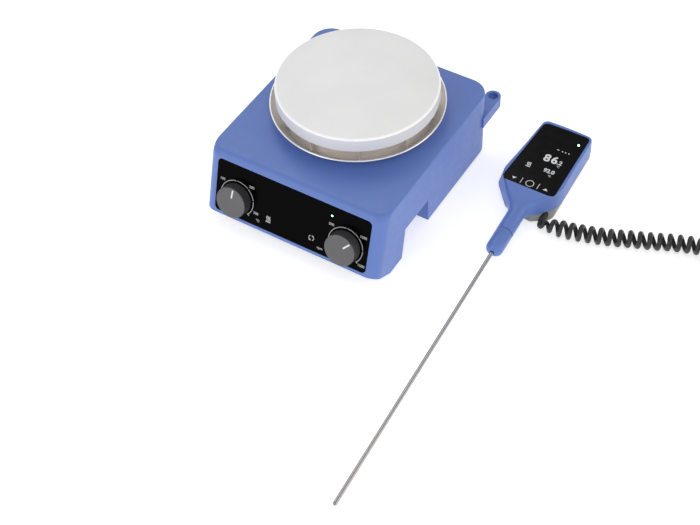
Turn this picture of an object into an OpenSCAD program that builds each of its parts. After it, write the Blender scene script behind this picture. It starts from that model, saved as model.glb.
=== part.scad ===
// Magnetic stirrer with a heating plate, and the contact thermometer that plugs into it.
// Millimetres, +Z up. The table is z = 0 and the origin is the middle of the set's footprint.

/* [Placement] */
// Plate axis from the origin, to the right
axis_x = -40.4; // [-60:0.1:-20]
// Plate axis from the origin, to the rear
axis_y = 86.2; // [60:0.1:110]

/* [Housing] */
// Width across the side walls
body_w = 153.4; // [146:0.2:170]
// Height of the flat top
body_h = 64; // [62:1:68]
// Rear wall from the plate's axis
body_rear = 73; // [70:1:80]
// Front face from the plate's axis, where its plane would meet the table
front_y0 = 108.6; // [104:0.2:114]
// Tilt of the front face from vertical, in degrees
front_tilt = 16.5; // [12:0.5:20]
// Wall thickness of the moulded shell
wall = 3; // [2:0.25:3.5]
// Radius of the upright edges at the front
front_r = 9.5; // [5:0.5:10]
// Rounding between the front face and the top
brow_r = 6.5; // [2:0.5:7]
// Radius of the upright edges at the rear
rear_r = 16; // [10:1:18]

/* [Hand recesses] */
// Height of the recess ceiling
recess_h = 27.8; // [22:0.2:30]
// Depth of the recess from the side wall
recess_d = 22; // [14:1:23]

/* [Heating plate] */
// Plate diameter
plate_d = 125; // [115:1:128]
// Plate top above the table
plate_top = 92; // [90:1:96]
// Height of the plate's rim
plate_h = 12; // [10:1:13]
// Diameter of the rolled lip under the plate
lip_d = 134.8; // [130:0.2:140]
// Height of the lip
lip_z = 75.2; // [74:0.2:76.4]

/* [Controls] */
// Distance between the two knobs
knob_pitch = 96; // [88:1:104]
// Diameter of a knob at its base
knob_d = 25.6; // [22:0.2:27]
// Height of a knob above the panel
knob_h = 9; // [7:0.5:12]
// Where the heat knob points, clockwise from straight up
heat_at = 6; // [-135:1:135]
// Where the speed knob points, clockwise from straight up
speed_at = 42; // [-135:1:135]

/* [Support rod holder] */
// Bore for the support rod
rod_d = 8; // [6:0.5:8.5]

/* [Thermometer] */
// Free length of the steel shaft
shaft_l = 241.3; // [200:0.1:260]
// Diameter of the steel shaft
shaft_d = 3; // [2.6:0.2:3]
// Turn on the table, anticlockwise
probe_yaw = 2.54; // [0:0.02:6]

/* [Coiled cord] */
// Diameter of the cord
cord_d = 3.4; // [3:0.1:4]
// Outer diameter of the curly part
curl_d = 14; // [13:0.2:15]

/* [Hidden] */
$fn = 48;
e = 0.02; // gap between faces that meet
half_w = body_w / 2;
tilt = front_tilt;
panel_w = 134.4;
panel_h = 45.4;
panel_r = 3.8;
panel_t = 0.8;
panel_z = 58.4; // upper edge of the panel
panel_y = -front_y0 + panel_z * tan(tilt);
knob_v = -28.3; // knob centres below the panel's upper edge, along the slope
led_u = 34.1;
led_v = -8.5;
bow_z = 12.4; // the lower front edge is raised and runs back to the feet of the side walls
bow_foot_y = -84;
foot_z = 1.2;
rear_skirt_z = 5.9;
recess_front_y = [-67, -61]; // front wall of a recess, at the table and at the ceiling
recess_rear_y = -26.9;
base_z = 6;
base_t = 2;
floor_z = base_z + base_t;
foot_r = 7.5;
foot_at = [[-42, -68], [42, -68], [-60, 42], [60, 42]];
screw_at = [[-64, -77], [64, -77], [-62, 60], [62, 60]];
ear_at = [71.8, 85.2];
ear_r = 6.2;
ear_z = [32.3, 42];
top_hole_r = 46;
flange_r = 57.6;
sheet = 0.9;
drum_r = 57.3;
plate_z = plate_top - plate_h;
plate_under = plate_top - 6;
post_r = 52;
post_angles = [30, 150, 270];
heater_r = 38;
heater_tube_r = 3.2;
lead_angle = 8;
shaft_r = 3;
run = 0.05; // radial clearance of a turning shaft
inlet_at = [-43, 30];
switch_at = [-8, 30];
socket_at = [38, 38];
pins_in = 8; // pivot of the rocker behind the face of its frame

pitch = 1.8; // the thermometer lies on its tip and on its head
tip_x = 146.4;
tip_y = -275.7;
probe_x = tip_x - shaft_l * cos(pitch) * sin(probe_yaw);
probe_y = tip_y + shaft_l * cos(pitch) * cos(probe_yaw);
probe_z = shaft_d / 2 + shaft_l * sin(pitch);
seam_z = -3.3; // between the blue and the grey half, below the shaft's axis
back_z = -10.65;
face_z = 9.8;
neck_r = 6.8;
head_front = 72; // centres of the head's corner columns
head_rear = 131.5;
head_r = 6.5;
skin = 0.05; // the shoulders end this far inside the head
head_w = [18.7, 16]; // their half spacing at the front and at the rear
core_r = 1; // the shaft inside the head is thinner
gland_x = 18;
gland_z = -6.4;
back_screw_at = [[-17, 74], [17, 74], [-13.5, 131], [13.5, 131]];

// The cord on the table: x, y, z and radius, from the gland to the plug, from the plate's axis.
curl_r = curl_d / 2;
cord_r = cord_d / 2;
lead_in = [[151.6, 13.6, 4], [152, 12, 3.9], [153.1, 11, 4.4], [154.9, 10.8, 5.8]];
curl_open = [[158, 11.6], [164, 12.7], [170, 14], [180, 16.5], [190, 19.5], [200, 22.9],
    [210, 26.7], [220, 31], [230, 35.2], [240, 39.6], [250, 44], [260, 47.8], [270, 50]];
curl_rest = [[279, 49.4], [287, 46.4], [293.4, 41], [298, 33.6], [301.8, 25], [305.6, 16],
    [309.5, 6.6], [313.4, -2.6], [317.3, -11.8], [321.2, -21], [324, -27.6]];
tail = [[325.5, -31, 3.4], [327, -34.6, 1.7], [329, -39.4, 1.7], [331, -44.2, 3],
    [332.6, -48.2, 6.2], [333.8, -51.1, 7.2]];
plug_at = [334.2, -52, 7.5];
plug_turn = -67.2; // the plug points along the edge of the table's clear area

// ---- helpers ----

module placed() translate([axis_x, axis_y, 0]) children();

module on_panel() translate([0, panel_y, panel_z]) rotate([90 - tilt, 0, 0]) children();

module at_knob(side) on_panel() translate([side * knob_pitch / 2, knob_v, 0]) children();

module probe_frame()
    translate([probe_x, probe_y, probe_z]) rotate([0, 0, probe_yaw]) rotate([pitch, 0, 0])
        children();

// A pin along +Y of the thermometer's own frame
module along(y, h, r1, r2, fn = 48) translate([0, y, 0]) rotate([-90, 0, 0])
    cylinder(h = h, r1 = r1, r2 = r2, $fn = fn);

module round_rect(x0, x1, y0, y1, r) {
    translate([x0 + r, y0]) square([x1 - x0 - 2 * r, y1 - y0]);
    translate([x0, y0 + r]) square([x1 - x0, y1 - y0 - 2 * r]);
    for (x = [x0 + r, x1 - r]) for (y = [y0 + r, y1 - r]) translate([x, y]) circle(r);
}

// A shape drawn in the YZ plane and drawn out along X
module side_extrude(x0, x1) translate([x0, 0, 0]) rotate([90, 0, 90])
    linear_extrude(x1 - x0) children();

module tube(outer, inner, h) difference() {
    cylinder(r = outer, h = h);
    translate([0, 0, -1]) cylinder(r = inner, h = h + 2);
}

module block(x, y, z, w, d, h) translate([x - w / 2, y - d / 2, z]) cube([w, d, h]);

// ---- housing ----

// Footprint blocks of the housing, shrunk by t on the sides
module body_block(t) {
    translate([0, -front_y0, 0]) rotate([-tilt, 0, 0]) translate([0, 0, -20])
        linear_extrude(130) round_rect(-half_w + t, half_w - t, t, 60, front_r - t);
    translate([0, 0, -20]) linear_extrude(100)
        round_rect(-half_w + t, half_w - t, -60, body_rear - t, rear_r - t);
}

// Line of the lower front, from its front edge to the feet, moved inwards by t
function bow_point(y, t) = bow_z + (y - (-front_y0 + bow_z * tan(tilt))) * bow_slope + t * bow_lift;
bow_slope = (foot_z - bow_z) / (bow_foot_y + front_y0 - bow_z * tan(tilt));
bow_lift = sqrt(1 + bow_slope * bow_slope);

module outer_profile() {
    bow_y = -front_y0 + bow_z * tan(tilt);
    brow_y = -front_y0 + (body_h - brow_r) * tan(tilt) + brow_r / cos(tilt);
    polygon(concat([[-140, bow_z], [bow_y, bow_z], [bow_foot_y, foot_z],
        [-64, foot_z], [-64, rear_skirt_z], [body_rear + 5, rear_skirt_z],
        [body_rear + 5, body_h]],
        [for (k = [0:8]) let (a = 90 + (90 - tilt) * k / 8)
            [brow_y + brow_r * cos(a), body_h - brow_r + brow_r * sin(a)]],
        [[-140, body_h - brow_r + brow_r * sin(tilt)]]));
}

module inner_profile() {
    z0 = -3;
    y0 = bow_foot_y + (foot_z + wall * bow_lift - z0) / -bow_slope;
    polygon([[-140, body_h - wall], [-140, bow_point(-140, wall)], [y0, z0],
        [body_rear + 5, z0], [body_rear + 5, body_h - wall]]);
}

module recess(side, grow) {
    x0 = side > 0 ? half_w - recess_d - grow : -half_w - 5;
    x1 = side > 0 ? half_w + 5 : -half_w + recess_d + grow;
    slope = (recess_front_y[1] - recess_front_y[0]) / recess_h;
    top = recess_h + grow;
    side_extrude(x0, x1) polygon([
        [recess_front_y[0] - 5 * slope - grow * 1.03, -5],
        [recess_front_y[0] + top * slope - grow * 1.03, top],
        [recess_rear_y + grow, top], [recess_rear_y + grow, -5]]);
}

// The arm that carries the support rod runs back from the right side wall
module ear() {
    x1 = ear_at[0] + ear_r;
    translate([0, 0, ear_z[0]]) {
        cylinder_at(ear_at, ear_r, ear_z[1] - ear_z[0]);
        translate([ear_at[0] - ear_r, 58, 0]) cube([x1 - ear_at[0] + ear_r,
            ear_at[1] - 58, ear_z[1] - ear_z[0]]);
    }
}

module cylinder_at(p, r, h) translate([p[0], p[1], 0]) cylinder(r = r, h = h);

module housing() color("cornflowerblue") placed() difference() {
    union() {
        intersection() {
            body_block(0);
            side_extrude(-100, 100) outer_profile();
        }
        ear();
    }
    difference() {
        intersection() {
            body_block(wall);
            side_extrude(-100, 100) inner_profile();
        }
        for (side = [-1, 1]) recess(side, wall);
        for (p = screw_at) translate([0, 0, floor_z + e]) cylinder_at(p, 4, 60);
    }
    for (side = [-1, 1]) recess(side, 0);
    for (p = screw_at) translate([0, 0, floor_z - 1]) cylinder_at(p, 1.6, 15);
    translate([0, 0, body_h - 10]) cylinder(r = top_hole_r, h = 20);
    for (a = post_angles) rotate(a) translate([post_r, 0, body_h - 10]) cylinder(r = 1.6, h = 20);
    translate([0, 0, ear_z[0] - 5]) cylinder_at(ear_at, rod_d / 2, 25);
    on_panel() translate([0, 0, -panel_t - e]) linear_extrude(5)
        round_rect(-panel_w / 2 - 0.1, panel_w / 2 + 0.1, -panel_h - 0.1, 0.1, panel_r);
    for (side = [-1, 1]) at_knob(side) translate([0, 0, -8]) cylinder(r = 3.7, h = 10);
    on_panel() translate([led_u, led_v, -8]) cylinder(r = 1.6, h = 10);
    block(inlet_at[0], body_rear, inlet_at[1] - 9.9, 27.4, 12, 19.8);
    block(switch_at[0], body_rear, switch_at[1] - 6.8, 19.4, 12, 13.6);
    translate([socket_at[0], body_rear - 6, socket_at[1]]) rotate([-90, 0, 0])
        cylinder(r = 8.7, h = 12);
}

module base_plate() color("lightslategray") placed() difference() {
    in = wall + 0.5;
    translate([0, 0, base_z]) linear_extrude(base_t)
        round_rect(-half_w + in, half_w - in, -85, body_rear - in, 5);
    for (side = [-1, 1]) recess(side, wall + 0.5);
    for (p = [[-half_w, body_rear], [half_w, body_rear]]) translate([0, 0, base_z - 1])
        linear_extrude(base_t + 2) rear_corner_cut(p, in);
    for (p = screw_at) translate([0, 0, base_z - 1]) cylinder_at(p, 1.8, base_t + 2);
    for (y = [-8:8:40]) for (x = [-1, 1]) block(x * 44, y, base_z - 1, 12, 3, base_t + 2);
}

// What lies outside the rounded rear corner at p
module rear_corner_cut(p, in) {
    s = sign(p[0]);
    c = [p[0] - s * rear_r, p[1] - rear_r];
    difference() {
        translate([s > 0 ? c[0] : c[0] - 20, c[1]]) square(20);
        translate(c) circle(rear_r - in);
    }
}

module rubber_feet() color("dimgray") placed() for (p = foot_at)
    translate([p[0], p[1], 0]) rotate_extrude()
        polygon([[0, 0], [foot_r - 1, 0], [foot_r, 1], [foot_r - 0.8, base_z - e],
            [0, base_z - e]]);

module housing_screws() color("silver") placed() for (p = screw_at)
    translate([p[0], p[1], base_z - 2.4]) {
        difference() {
            cylinder(r = 3.2, h = 2.4 - e);
            translate([0, 0, -1]) cylinder(r = 1.7, h = 2.2, $fn = 6);
        }
        translate([0, 0, 1.8]) cylinder(r = 1.5, h = 12);
    }

// ---- front ----

module front_panel() color("black") placed() on_panel() translate([0, 0, -panel_t])
    difference() {
        linear_extrude(panel_t)
            round_rect(-panel_w / 2, panel_w / 2, -panel_h, 0, panel_r - 0.1);
        for (side = [-1, 1]) translate([side * knob_pitch / 2, knob_v, -1])
            cylinder(r = 3.7, h = 3);
        translate([led_u, led_v, -1]) cylinder(r = 1.3, h = 3);
    }

module status_led() color("palegreen") placed() on_panel() translate([led_u, led_v, -12])
    cylinder(r = 1.2, h = 12.1);

module knob_body() difference() {
    union() {
        translate([0, 0, 0.3]) cylinder(r1 = knob_d / 2, r2 = knob_d / 2 - 0.5, h = knob_h - 1.1);
        translate([0, 0, knob_h - 0.8]) cylinder(r1 = knob_d / 2 - 0.5, r2 = knob_d / 2 - 1.3,
            h = 0.8);
    }
    translate([0, 0, -1]) cylinder(r = 6.4, h = 4.4);
    cylinder(r = shaft_r + e, h = knob_h - 2);
}

module pointer() translate([-0.7, 3.4, knob_h + e]) cube([1.4, 7.9, 0.15]);

module spindle() translate([0, 0, -9.8]) cylinder(r = shaft_r, h = 9.8 + knob_h - 2.4);

module potentiometer() translate([0, 0, -12]) difference() {
    union() {
        block(0, 0, 0, 16, 16, 8 - e);
        cylinder(r = 3.5, h = 14.6);
    }
    translate([0, 0, 2]) cylinder(r = shaft_r + run, h = 20);
}

module heat_knob() color("dimgray") placed() at_knob(-1) rotate(-heat_at) knob_body();
module heat_pointer() color("white") placed() at_knob(-1) rotate(-heat_at) pointer();
module heat_spindle() color("silver") placed() at_knob(-1) spindle();
module heat_potentiometer() color("seagreen") placed() at_knob(-1) potentiometer();
module speed_knob() color("dimgray") placed() at_knob(1) rotate(-speed_at) knob_body();
module speed_pointer() color("white") placed() at_knob(1) rotate(-speed_at) pointer();
module speed_spindle() color("silver") placed() at_knob(1) spindle();
module speed_potentiometer() color("seagreen") placed() at_knob(1) potentiometer();

module spindle_nuts() color("silver") placed() for (side = [-1, 1]) at_knob(side)
    translate([0, 0, e]) difference() {
        cylinder(r = 5.8, h = 2.2, $fn = 6);
        translate([0, 0, -1]) cylinder(r = 3.53, h = 5);
    }

module control_board() color("darkgreen") placed() on_panel() difference() {
    translate([-59, -40, -13.6 - e]) cube([118, 32, 1.6]);
    for (side = [-1, 1]) translate([side * knob_pitch / 2, knob_v + 9.5, -15])
        cylinder(r = 1.1, h = 5, $fn = 8);
}

// ---- heating plate ----

module heating_plate() color("whitesmoke") placed() rotate_extrude($fn = 96) {
    r = plate_d / 2;
    bend = 2.4;
    polygon(concat([[0, plate_under], [r - 4, plate_under], [r - 4, plate_z],
        [r - 0.5, plate_z], [r, plate_z + 0.5]],
        [for (a = [0:15:90]) [r - bend + bend * cos(a), plate_top - bend + bend * sin(a)]],
        [[0, plate_top]]));
}

module heating_element() color("gray") placed() {
    translate([0, 0, plate_under - heater_tube_r - 0.1]) rotate_extrude($fn = 96)
        translate([heater_r, 0]) circle(heater_tube_r);
    for (s = [-1, 1]) rotate(180 + s * lead_angle) translate([heater_r, 0, body_h - 4])
        cylinder(r = 2.2, h = plate_under - heater_tube_r - body_h + 3);
}

module heater_leads() color("firebrick") placed() for (s = [-1, 1])
    rotate(180 + s * lead_angle) translate([heater_r, 0, 14]) {
        cylinder(r = 1.2, h = body_h - 20);
        translate([0, 0, body_h - 24]) cylinder(r = 1.8, h = 6 - e);
    }

module plate_sensor() color("silver") placed() translate([-14, 20, 75.8])
    cylinder(r = 2, h = plate_under - 75.9);

module safety_thermostat() color("goldenrod") placed() translate([-16, -14, 79.5]) {
    cylinder(r = 7, h = 4);
    cylinder(r = 5.5, h = plate_under - 79.5 - 0.1);
}

module lead_holes(r, z, h) {
    for (s = [-1, 1]) rotate(180 + s * lead_angle) translate([heater_r, 0, z])
        cylinder(r = r, h = h);
    for (a = post_angles) rotate(a) translate([post_r, 0, z]) cylinder(r = 3.4, h = h);
}

module insulation_disc() color("wheat") placed() difference() {
    translate([0, 0, 75.6]) cylinder(r = drum_r - 1.3, h = 3.7);
    lead_holes(2.6, 70, 15);
    translate([-14, 20, 70]) cylinder(r = 2.4, h = 15);
}

module shield_sheet() color("lightgray") placed() difference() {
    translate([0, 0, 74.8]) cylinder(r = drum_r - 1.3, h = 0.7);
    lead_holes(2.6, 70, 15);
}

module plate_drum() color("rosybrown") placed() {
    z0 = body_h + sheet + 0.15;
    translate([0, 0, z0]) tube(drum_r, drum_r - 1, plate_z - z0 - 0.2);
    for (i = [0:9]) rotate(-58 + i * 36) translate([drum_r - 0.4, -0.6, 72.4])
        cube([4.4, 1.2, 6.4]);
}

// Flange on the housing, then a cone that opens to the rolled lip
module splash_ring() color("silver") placed() difference() {
    r = lip_d / 2;
    rotate_extrude($fn = 96) polygon([[48, body_h + e], [flange_r, body_h + e],
        [flange_r + 0.8, body_h + 0.6], [r - 0.6, lip_z - 1], [r, lip_z - 0.5],
        [r - 0.3, lip_z], [r - 1, lip_z + 0.1], [flange_r + 0.1, body_h + sheet + 0.3],
        [flange_r - 0.4, body_h + sheet], [48, body_h + sheet]]);
    for (a = post_angles) rotate(a) translate([post_r, 0, body_h - 1]) cylinder(r = 1.6, h = 4);
}

module plate_posts() color("silver") placed() for (a = post_angles) rotate(a)
    translate([post_r, 0, body_h + sheet + e]) difference() {
        cylinder(r = 3, h = plate_under - body_h - sheet - 3 * e);
        translate([0, 0, -1]) cylinder(r = 1.53, h = 12);
    }

module plate_screws() color("silver") placed() for (a = post_angles) rotate(a)
    translate([post_r, 0, body_h - wall - 2 - e]) {
        cylinder(r = 2.8, h = 2);
        translate([0, 0, 1]) cylinder(r = 1.5, h = 12);
    }

// ---- drive ----

module drive_shaft() color("silver") placed() translate([0, 0, 12]) cylinder(r = shaft_r, h = 55);

module magnet_carrier() color("gray") placed() difference() {
    union() {
        translate([0, 0, 59]) cylinder(r = 7, h = 6);
        translate([0, 0, 64.2]) cylinder(r = 28, h = 3.6);
    }
    translate([0, 0, 50]) cylinder(r = shaft_r + e, h = 30);
}

module drive_magnets() color("slategray") placed() for (s = [-1, 1])
    translate([s * 17, 0, 67.8 + e]) cylinder(r = 8, h = 5.6);

module motor_rotor() color("darkgray") placed() translate([0, 0, 25])
    tube(16.6, shaft_r + e, 20);

module motor_stator() color("gray") placed() translate([0, 0, 26]) difference() {
    tube(30, 17.2, 18);
    for (i = [0:5]) rotate(i * 60 + 30) translate([22.5, 0, -1]) cylinder(r = 3, h = 20);
}

module motor_windings() color("peru") placed() for (z = [19, 44 + e]) translate([0, 0, z])
    rotate_extrude() polygon([[19, 0], [28, 0], [28, 5], [26, 7 - e], [21, 7 - e], [19, 5]]);

module motor_upper_bracket() color("silver") placed() difference() {
    translate([0, 0, 52.2]) cylinder(r = 35, h = 3);
    cylinder(r = 6.02, h = 60);
    for (i = [0:2]) rotate(i * 120 + 90) translate([20, 0, 50]) cylinder(r = 5, h = 8);
}

module motor_lower_bracket() color("silver") placed() difference() {
    union() {
        translate([0, 0, 12.6]) cylinder(r = 35, h = 3);
        for (i = [0:2]) rotate(i * 120 + 30) translate([32.6, 0, 12.6])
            cylinder(r = 2, h = 39.6 - e);
    }
    cylinder(r = 6.02, h = 30);
}

module motor_bearings() color("goldenrod") placed() for (z = [12.6, 52.2])
    translate([0, 0, z]) difference() {
        tube(6, shaft_r + run, 3);
    }

module motor_dampers() color("dimgray") placed() for (i = [0:2]) rotate(i * 120 + 30)
    translate([26, 0, floor_z + e]) cylinder(r = 4, h = 12.6 - floor_z - 2 * e);

// ---- electronics ----

module power_board() color("darkgreen") placed() translate([-71, -18, 12]) cube([34, 64, 1.6]);

module board_standoffs() color("goldenrod") placed() for (x = [-68, -40]) for (y = [-14, 42])
    translate([x, y, floor_z + e]) cylinder(r = 2.4, h = 4 - 2 * e, $fn = 6);

module transformer() color("darkgoldenrod") placed() difference() {
    block(-55, 0, 13.6 + e, 28, 26, 22);
    block(-55, 0, 19, 30, 3, 12);
}

module board_parts() color("darkslategray") placed() {
    block(-48, 24, 13.6 + e, 12, 16, 12);
    translate([-62, 24, 13.6 + e]) cylinder(r = 5, h = 18);
    translate([-62, 37, 13.6 + e]) cylinder(r = 4, h = 14);
    block(-47, 40, 13.6 + e, 14, 7, 9);
}

module mains_inlet() color("black") placed() translate([inlet_at[0], body_rear, inlet_at[1]])
    rotate([-90, 0, 0]) difference() {
        union() {
            translate([0, 0, e]) linear_extrude(2) round_rect(-15.5, 15.5, -11.5, 11.5, 2);
            translate([-13.5, -9.7, -19]) cube([27, 19.4, 19.5]);
        }
        translate([0, 0, -16]) linear_extrude(20)
            polygon([[-12.2, -4.5], [-8.5, -8.2], [8.5, -8.2], [12.2, -4.5], [12.2, 8.2],
                [-12.2, 8.2]]);
        for (p = [[-7, 3], [7, 3], [0, -3]]) translate([p[0] - 1.1, p[1] - 2.1, -20])
            cube([2.2, 4.2, 8]);
    }

module inlet_pins() color("silver") placed() translate([inlet_at[0], body_rear, inlet_at[1]])
    rotate([-90, 0, 0]) for (p = [[-7, 3], [7, 3], [0, -3]])
        translate([p[0] - 1, p[1] - 2, -23]) cube([2, 4, 20]);

module power_switch() color("black") placed() translate([switch_at[0], body_rear, switch_at[1]])
    rotate([-90, 0, 0]) difference() {
        union() {
            translate([0, 0, e]) linear_extrude(1.8) round_rect(-11.6, 11.6, -8.2, 8.2, 1.2);
            translate([-9.6, -6.7, -16]) cube([19.2, 13.4, 17]);
        }
        translate([-8.7, -5.4, -10]) cube([17.4, 10.8, 20]);
        translate([0, -6.4, -3]) rotate([-90, 0, 0]) cylinder(r = 1.5 + run, h = 12.8);
    }

// Modelled with its left end pressed in
module switch_rocker() color("black") placed()
    translate([switch_at[0], body_rear - 3, switch_at[1]]) rotate([0, 0, 6]) {
        translate([0, 0, -5.1]) linear_extrude(10.2) polygon([[-7.9, 4.6], [0, 3.5],
            [7.9, 4.6], [7.9, 0], [3, -4.2], [-3, -4.2], [-7.9, 0]]);
        translate([0, 0, -6.2]) cylinder(r = 1.5, h = 12.4);
    }

module thermometer_socket() color("black") placed()
    translate([socket_at[0], body_rear, socket_at[1]]) rotate([-90, 0, 0]) difference() {
        union() {
            translate([0, 0, e]) cylinder(r = 10.4, h = 1.6);
            translate([0, 0, -14]) cylinder(r = 8.5, h = 14.5);
        }
        translate([0, 0, -9]) cylinder(r = 7.2, h = 12);
        for (i = [0:5]) rotate(i * 50 - 35) translate([4.2, 0, -12]) cylinder(r = 0.9, h = 6, $fn = 8);
    }

// ---- thermometer ----

// Corner columns of the head, shrunk by t, from z0 to z1, with the draft of the blue half
module head_columns(t, z0, z1, y0, y1) {
    draft = 1.6 / (face_z - seam_z);
    for (s = [-1, 1]) for (k = [0, 1])
        translate([s * head_w[k], k == 0 ? y0 : y1, z0])
            cylinder(h = z1 - z0, r1 = head_r - t, r2 = head_r - t - (z1 - z0) * draft, $fn = 32);
}

// The head stands a little off the line of the neck and the shaft
module head_turn() translate([-1.3, 50, 0]) rotate([0, 0, -3]) translate([0, -50, 0])
    children();

module probe_solid(t) {
    head_turn() hull() head_columns(t, seam_z - 0.5, face_z - t, head_front, head_rear);
    hull() {
        along(38, 1, neck_r - t, neck_r - t, 32);
        head_turn() head_columns(t + skin, seam_z - 1, face_z - t - skin, head_front + 0.5, head_front + 4);
    }
}

module probe_window_shape(grow) head_turn() hull() {
    for (s = [-1, 1]) {
        translate([s * (17.8 + grow), 70.6 - grow]) circle(4.3, $fn = 32);
        translate([s * (15.5 + grow), 127.2 + grow]) circle(4.3, $fn = 32);
    }
    translate([0, 70 - grow]) circle(4.3, $fn = 32);
    translate([0, 128.8 + grow]) circle(4.3, $fn = 32);
}

module probe_shell() color("cornflowerblue") placed() probe_frame() difference() {
    union() {
        probe_solid(0);
        along(21.8, 17, neck_r, neck_r);
    }
    difference() {
        probe_solid(2);
        along(0, 40.5, 20, 20);
    }
    along(0, 50, 3.6, 3.6);
    translate([-40, 44, seam_z - 30]) cube([80, 120, 30]);
    translate([0, 0, face_z - 1.5]) linear_extrude(4) probe_window_shape(0.05);
    translate([0, 0, face_z - 5]) linear_extrude(8) probe_window_shape(-2);
}

module probe_back() color("gray") placed() probe_frame() difference() {
    hull() {
        head_turn() back_columns(0);
        translate([0, 48.6, seam_z - e - 0.5]) cylinder(r = 4.4, h = 0.5, $fn = 32);
    }
    difference() {
        head_turn() hull() back_columns(2);
        translate([-40, 0, seam_z - 2]) cube([80, 160, 10]);
    }
    translate([0, 0, seam_z - 5]) linear_extrude(10) head_turn() hull() for (s = [-1, 1]) {
        translate([s * 15.5, 76]) circle(4, $fn = 32);
        translate([s * 14.5, 128]) circle(4, $fn = 32);
    }
    translate([gland_x, 64, gland_z]) rotate([90, 0, 0]) cylinder(r = 2.6, h = 16);
    head_turn() for (p = back_screw_at)
        translate([p[0], p[1], back_z - 1]) cylinder(r = 2.5, h = 2.2);
}

// Corner columns of the grey half, shrunk by t; it bulges on the right, where the cord comes out
module back_columns(t) {
    for (s = [-1, 1]) {
        translate([s * 9.5, 57.5, 0]) back_column(6 - t, 6 - t, t);
        translate([s * 17, 68.5, 0]) back_column(7.2 - t, 7.2 - t, t);
        translate([s * 13, 128.8, 0]) back_column(8.8 - t, 8.8 - t, t);
    }
    translate([9, 53.6, 0]) back_column(6 - t, 3, t);
    translate([16, 62, 0]) back_column(9 - t, 3, t);
}

module back_column(r, seam_r, t) {
    edge_z = back_z + t + 3;
    translate([0, 0, back_z + t]) cylinder(r1 = r - 3, r2 = r, h = 3, $fn = 32);
    translate([0, 0, edge_z]) cylinder(r1 = r, r2 = seam_r, h = seam_z - e - edge_z, $fn = 32);
}

module probe_cap() color("cornflowerblue") placed() probe_frame() difference() {
    rotate([-90, 0, 0]) rotate_extrude() polygon(concat([[0, 0]],
        [for (a = [-90:15:0]) [1.8 + 5 * cos(a), 5 + 5 * sin(a)]],
        [[neck_r, 21.6], [0, 21.6]]));
    along(-1, 30, shaft_d / 2 + 0.15, shaft_d / 2 + 0.15);
    along(3, 30, 3.6, 3.6);
}

module probe_ferrule() color("silver") placed() probe_frame() difference() {
    along(3.2, 30, 3.5, 3.5);
    along(0, 40, core_r + e, core_r + e);
}

module probe_shaft() color("silver") placed() probe_frame() {
    r = shaft_d / 2;
    along(-shaft_l + r, shaft_l - r - 0.15, r, r);
    along(-1, 31, core_r, core_r);
    translate([0, -shaft_l + r, 0]) rotate([90, 0, 0]) rotate_extrude() intersection() {
        circle(r);
        square(shaft_d);
    }
}

module probe_window() color("black") placed() probe_frame()
    translate([0, 0, face_z - 1.5 + e]) linear_extrude(1.2) probe_window_shape(0);

module probe_display() color("darkslategray") placed() probe_frame() head_turn()
    translate([-14, 76, face_z - 4]) cube([28, 46, 1.6]);

module probe_board() color("darkgreen") placed() probe_frame() head_turn()
    translate([-15, 76, 2]) cube([30, 52, 1.6]);

module probe_screws() color("silver") placed() probe_frame() head_turn()
    for (p = back_screw_at) translate([p[0], p[1], back_z + 0.3]) difference() {
        cylinder(r = 2.2, h = 0.9 - e);
        translate([0, 0, -1]) cylinder(r = 0.9, h = 1.5, $fn = 6);
    }

module cord_gland() color("black") placed() probe_frame()
    translate([gland_x, 62, gland_z]) rotate([90, 0, 0]) {
        cylinder(r = 2.5, h = 10.4);
        translate([0, 0, 10.4]) cylinder(r1 = 2.5, r2 = 2.1, h = 3.2);
    }

// ---- cord ----

cord_line = concat(
    [for (p = lead_in) [p[0], p[1], p[2], cord_r]],
    [for (p = curl_open) [p[0], p[1], curl_r, curl_r]],
    [for (p = curl_rest) [p[0], p[1], curl_r, curl_r]],
    [for (p = tail) [p[0], p[1], p[2], cord_r]]);

function unit(v) = v / norm(v);
function point(k) = [cord_line[k][0], cord_line[k][1], cord_line[k][2]];
function heading(k) = unit(point(min(k + 1, len(cord_line) - 1)) - point(max(k - 1, 0)));

sides = 10;

// One ring of the swept cord, square to its heading
function ring(k) = let (
    d = heading(k),
    a = unit(cross([0, 0, 1], d)),
    b = cross(d, a))
    [for (i = [0:sides - 1]) point(k)
        + cord_line[k][3] * (cos(i * 360 / sides) * a + sin(i * 360 / sides) * b)];

module coiled_cord() color("black") placed() {
    n = len(cord_line);
    polyhedron(
        points = [for (k = [0:n - 1]) each ring(k)],
        faces = concat(
            [[for (i = [0:sides - 1]) i]],
            [[for (i = [sides - 1:-1:0]) (n - 1) * sides + i]],
            [for (k = [0:n - 2]) for (i = [0:sides - 1])
                let (j = (i + 1) % sides)
                [k * sides + j, k * sides + i, (k + 1) * sides + i]],
            [for (k = [0:n - 2]) for (i = [0:sides - 1])
                let (j = (i + 1) % sides)
                [k * sides + j, (k + 1) * sides + i, (k + 1) * sides + j]]));
}

module plug_frame() translate(plug_at) rotate([0, 0, plug_turn]) rotate([0, 90, 0]) children();

module cord_plug() color("black") placed() plug_frame() difference() {
    union() {
        translate([0, 0, e]) cylinder(r1 = 2.6, r2 = 3.6, h = 9);
        translate([0, 0, 9]) cylinder(r1 = 6, r2 = 7.5, h = 4);
        translate([0, 0, 13]) cylinder(r = 7.5, h = 18);
        translate([0, 0, 31]) cylinder(r1 = 7.5, r2 = 7.2, h = 2);
    }
    translate([0, 0, 29]) cylinder(r = 7.02, h = 6);
}

module plug_shield() color("silver") placed() plug_frame() translate([0, 0, 29 + e]) {
    tube(7, 6.3, 11);
    cylinder(r = 6.3, h = 8);
    for (i = [0:5]) rotate(i * 50 - 35) translate([4.2, 0, 7]) cylinder(r = 0.6, h = 3.4, $fn = 8);
}

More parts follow.
